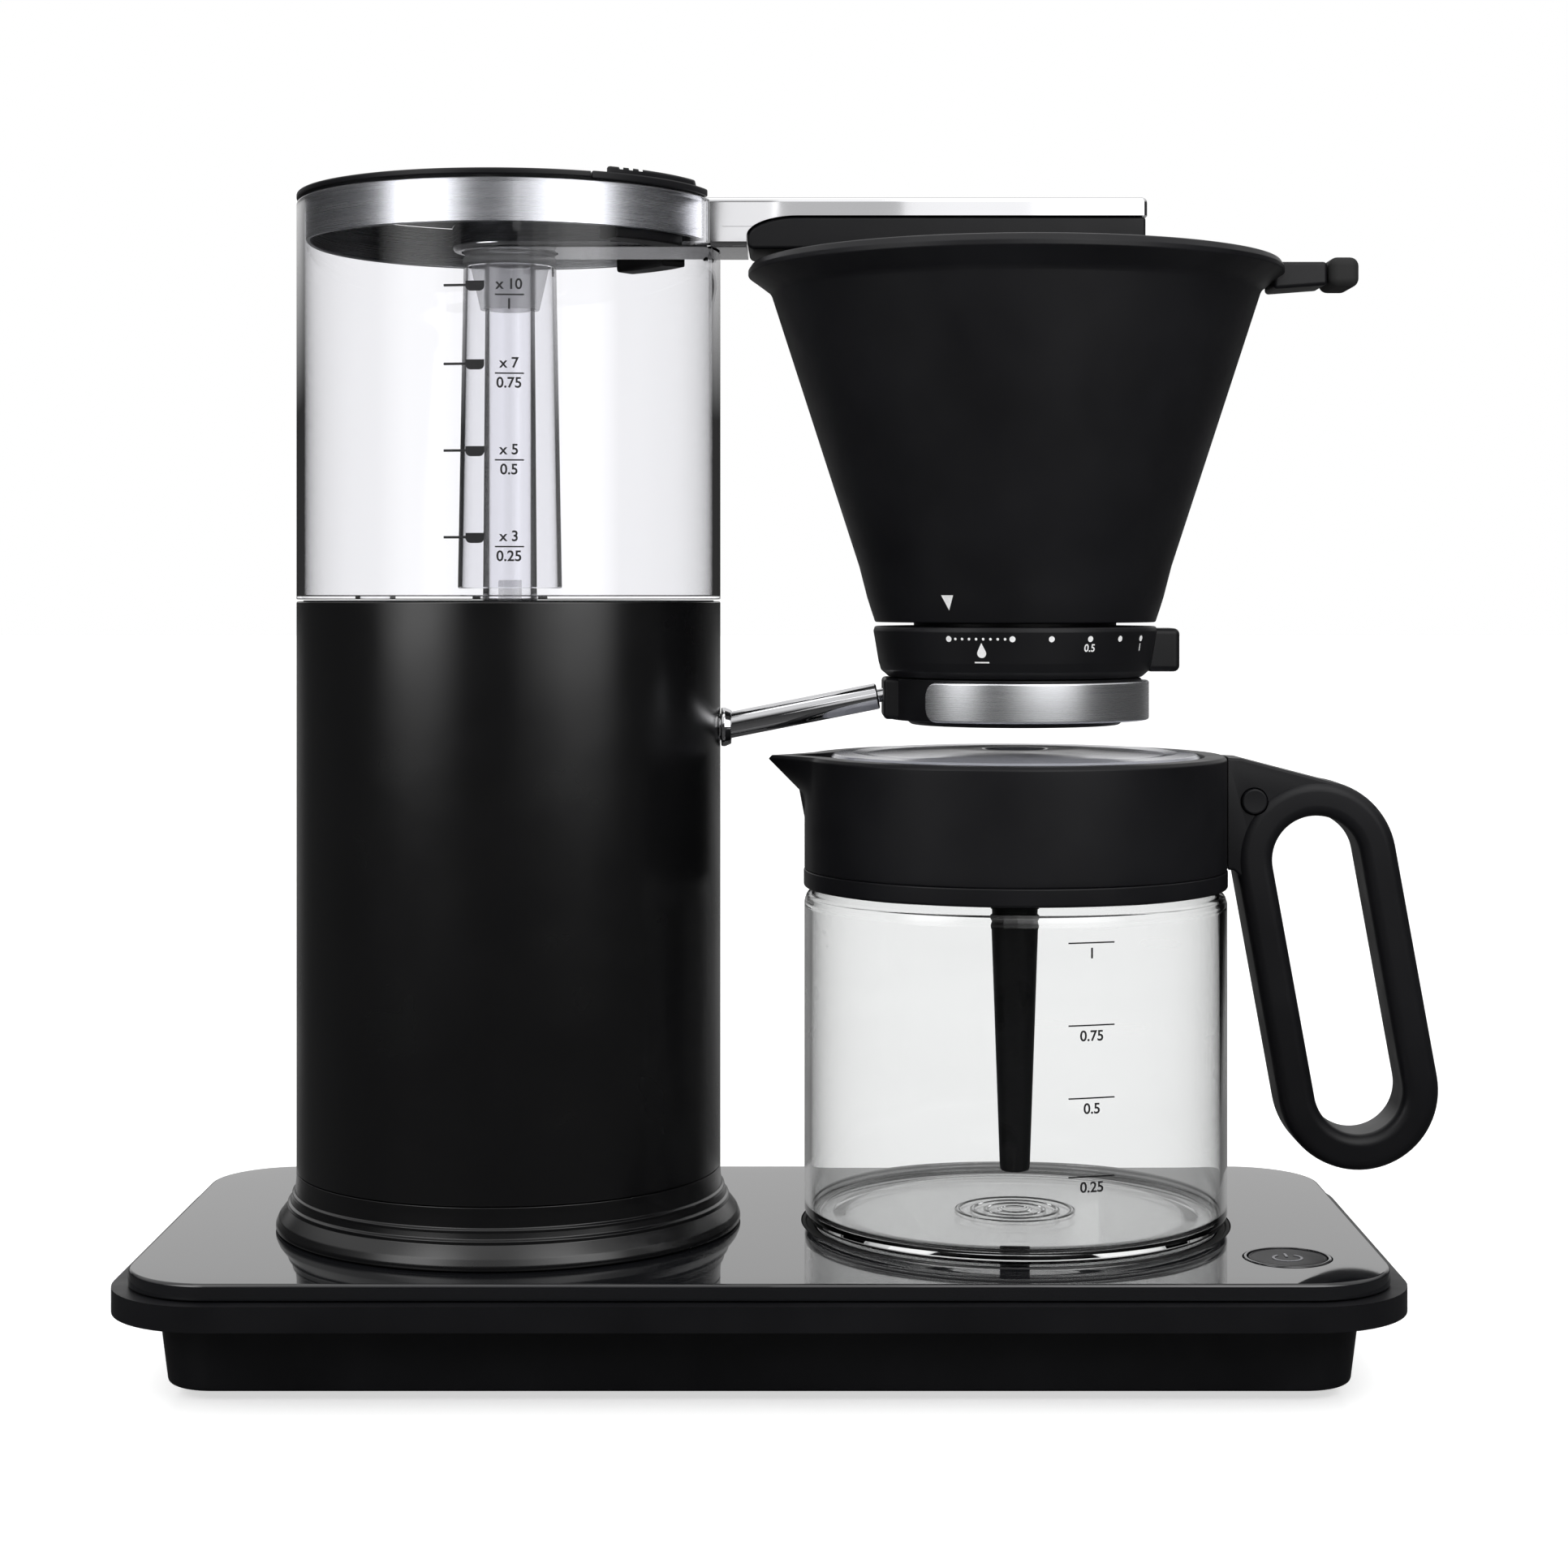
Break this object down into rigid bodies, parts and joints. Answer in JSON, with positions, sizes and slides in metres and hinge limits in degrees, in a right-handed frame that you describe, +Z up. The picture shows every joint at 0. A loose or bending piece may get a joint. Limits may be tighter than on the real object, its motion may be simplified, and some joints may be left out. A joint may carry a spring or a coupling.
{
  "type": "drip coffee maker",
  "caption": "Drip coffee maker with a water tower, a clear tank, an arm over a turning filter funnel, and a glass jug on a hot plate.",
  "frame": {"origin": "middle of the bounding box at floor level", "axes": "+X from the tank to the jug, +Y to the back, +Z up"},
  "size_m": [0.3788, 0.17, 0.3409],
  "materials": {
    "housing_plastic": "fine satin moulded black",
    "top_plate_gloss": "mirror-smooth black",
    "tower_paint": "satin black paint on steel",
    "clear_tank": "clear moulded tank",
    "jug_glass": "clear blown glass",
    "brushed_steel": "brushed round the ring",
    "steel": "plain steel hardware",
    "chrome": "polished chrome",
    "aluminium": "as cast",
    "rubber": "matte black",
    "silicone": "translucent white silicone",
    "lid_plastic": "smoke grey",
    "circuit_board": "green board"
  },
  "bodies": {
    "root": {"base_bottom_cover": "housing_plastic", "base_housing": "housing_plastic", "base_top_plate": "top_plate_gloss", "boiler": "aluminium", "boiler_bracket": "steel", "boiler_thermostat": "steel", "button_bezel": "top_plate_gloss", "button_spring": "steel", "check_valve_body": "clear_tank", "cord_gland": "rubber", "cover_screw_left": "steel", "cover_screw_right": "steel", "foot_front_left": "rubber", "foot_front_right": "rubber", "foot_rear_left": "rubber", "foot_rear_right": "rubber", "holder_carrier": "housing_plastic", "holder_ring": "brushed_steel", "holder_rod": "chrome", "hot_plate": "top_plate_gloss", "hot_plate_gasket": "rubber", "hot_plate_heater": "aluminium", "inlet_hose": "silicone", "outlet_hose": "silicone", "plate_thermostat": "steel", "riser_inner_tube": "clear_tank", "riser_outer_tube": "clear_tank", "rod_escutcheon": "chrome", "rod_nut": "steel", "switch_board": "circuit_board", "tank_seal": "rubber", "thermal_fuse": "steel", "tower_shell": "tower_paint", "tower_skirt": "tower_paint", "tower_top_plate": "housing_plastic", "water_tank": "clear_tank"},
    "outlet_unit": {"tank_collar": "brushed_steel", "arm_bracket_front": "housing_plastic", "arm_bracket_rear": "housing_plastic", "lid_hinge_pin": "steel", "outlet_arm": "chrome", "spray_head": "housing_plastic", "riser_cap": "silicone"},
    "tank_lid": {"tank_lid": "housing_plastic"},
    "power_button": {"power_button": "housing_plastic"},
    "funnel": {"funnel": "housing_plastic", "funnel_grip": "rubber", "funnel_outlet": "housing_plastic", "valve_seal": "rubber"},
    "drip_stop": {"drip_stop_ring": "housing_plastic", "valve_disc": "silicone"},
    "jug": {"jug_glass": "jug_glass", "jug_glass_foot": "jug_glass", "jug_collar": "housing_plastic", "jug_clamp_ring": "housing_plastic", "jug_handle": "housing_plastic", "handle_screw_cap": "housing_plastic"},
    "jug_lid": {"jug_lid": "lid_plastic", "mixing_tube": "housing_plastic"},
    "check_valve_ball": {"check_valve_ball": "steel"}
  },
  "joints": [
    {"name": "outlet_lift", "type": "slide", "parent": "root", "child": "outlet_unit", "axis": [0, 0, 1], "range_m": [0, 0.04]},
    {"name": "lid_hinge", "type": "hinge", "parent": "outlet_unit", "child": "tank_lid", "pos_m": [-0.0534, 0, 0.3386], "axis": [0, 1, 0], "range_deg": [0, 95]},
    {"name": "button_press", "type": "slide", "parent": "root", "child": "power_button", "axis": [0, 0, -1], "range_m": [0, 0.002], "stiffness_N_per_m": 600, "deforming": ["button_spring"]},
    {"name": "funnel_turn", "type": "hinge", "parent": "root", "child": "funnel", "pos_m": [0.0651, 0, 0.19], "axis": [0, 0, 1], "range_deg": [-90, 90]},
    {"name": "drip_stop_turn", "type": "hinge", "parent": "funnel", "child": "drip_stop", "pos_m": [0.0651, 0, 0.2], "axis": [0, 0, 1], "range_deg": [-92, 0]},
    {"name": "jug_slide", "type": "slide", "parent": "root", "child": "jug", "axis": [0, -1, 0], "range_m": [0, 0.2]},
    {"name": "jug_lid_twist", "type": "hinge", "parent": "jug", "child": "jug_lid", "pos_m": [0.0651, 0, 0.172], "axis": [0, 0, 1], "range_deg": [0, 40]},
    {"name": "valve_lift", "type": "slide", "parent": "root", "child": "check_valve_ball", "axis": [0, 0, 1], "range_m": [0, 0.002]}
  ]
}
